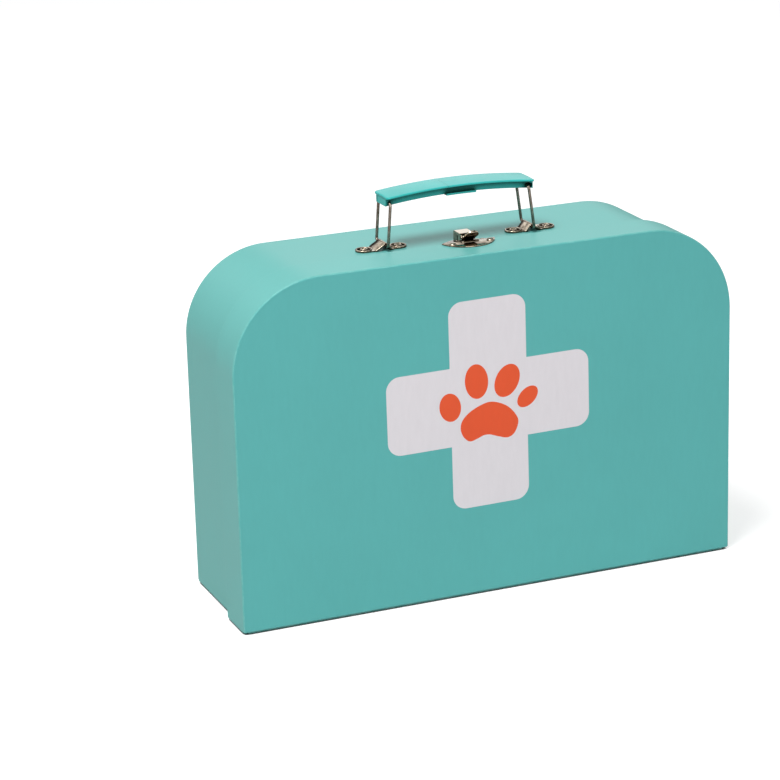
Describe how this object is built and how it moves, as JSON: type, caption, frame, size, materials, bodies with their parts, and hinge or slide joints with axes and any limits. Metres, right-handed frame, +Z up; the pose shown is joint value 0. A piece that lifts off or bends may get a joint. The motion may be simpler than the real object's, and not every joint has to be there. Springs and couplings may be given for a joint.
{
  "type": "toy doctor case",
  "caption": "Child's small board case with rounded top corners, a paw print on a pale cross, a hinged lid, a wire handle with a moulded grip and a snap latch.",
  "frame": {"origin": "centre of the closed case's footprint, on the surface it stands on", "axes": "+Z up, -Y towards the lid's printed front, +X to the right seen from the front"},
  "size_m": [0.3, 0.0884, 0.2294],
  "materials": {
    "teal_board": "wrapped in satin teal paper",
    "teal_paper": "satin printed sheet",
    "white_print": "satin printed ink",
    "orange_print": "satin printed ink",
    "lining_paper": "matt uncoated",
    "hinge_cloth": "paper-backed cloth",
    "nickel": "bright nickel plate",
    "teal_plastic": "glossy moulded"
  },
  "bodies": {
    "tray": {"tray_back_panel": "teal_board", "tray_side_band": "teal_board", "tray_bottom_wall": "teal_board", "tray_panel_lining": "lining_paper", "tray_wall_lining": "lining_paper", "hinge_cloth_tray": "hinge_cloth", "handle_bracket_left": "nickel", "handle_bracket_right": "nickel", "handle_rivets": "nickel", "handle_washers": "nickel", "latch_base_plate": "nickel", "latch_housing": "nickel", "latch_base_rivets": "nickel", "latch_base_washers": "nickel", "latch_pin": "nickel"},
    "lid": {"lid_front_panel": "teal_board", "lid_front_sheet": "teal_paper", "lid_cross_print": "white_print", "lid_paw_print": "orange_print", "lid_side_band": "teal_board", "lid_bottom_wall": "teal_board", "lid_panel_lining": "lining_paper", "lid_wall_lining": "lining_paper", "hinge_cloth_lid": "hinge_cloth", "lid_latch_plate": "nickel", "lid_latch_rivets": "nickel", "lid_latch_washers": "nickel"},
    "tongue": {"latch_tongue": "nickel"},
    "ring_left": {"handle_ring_left": "nickel"},
    "ring_right": {"handle_ring_right": "nickel"},
    "grip": {"grip_left_half": "teal_plastic", "grip_right_half": "teal_plastic"}
  },
  "joints": [
    {"name": "lid_hinge", "type": "hinge", "parent": "tray", "child": "lid", "pos_m": [0, -0.0166, 0], "axis": [1, 0, 0], "range_deg": [0, 175]},
    {"name": "tongue_hinge", "type": "hinge", "parent": "tray", "child": "tongue", "pos_m": [0, -0.0162, 0.2004], "axis": [-1, 0, 0], "range_deg": [0, 80]},
    {"name": "handle_left_hinge", "type": "hinge", "parent": "tray", "child": "ring_left", "pos_m": [-0.0443, 0, 0.1984], "axis": [0, 1, 0], "range_deg": [-50, 50]},
    {"name": "handle_right_hinge", "type": "hinge", "parent": "tray", "child": "ring_right", "pos_m": [0.0443, 0, 0.1984], "axis": [0, 1, 0], "range_deg": [-50.5, 50.5]},
    {"name": "grip_hinge", "type": "hinge", "parent": "ring_left", "child": "grip", "pos_m": [-0.0423, 0, 0.22307], "axis": [0, 1, 0], "range_deg": [-53.5, 53.5]}
  ],
  "couplings": [
    {"joint": "handle_right_hinge", "follows": "handle_left_hinge", "ratio": 1},
    {"joint": "grip_hinge", "follows": "handle_left_hinge", "ratio": -1.056}
  ]
}
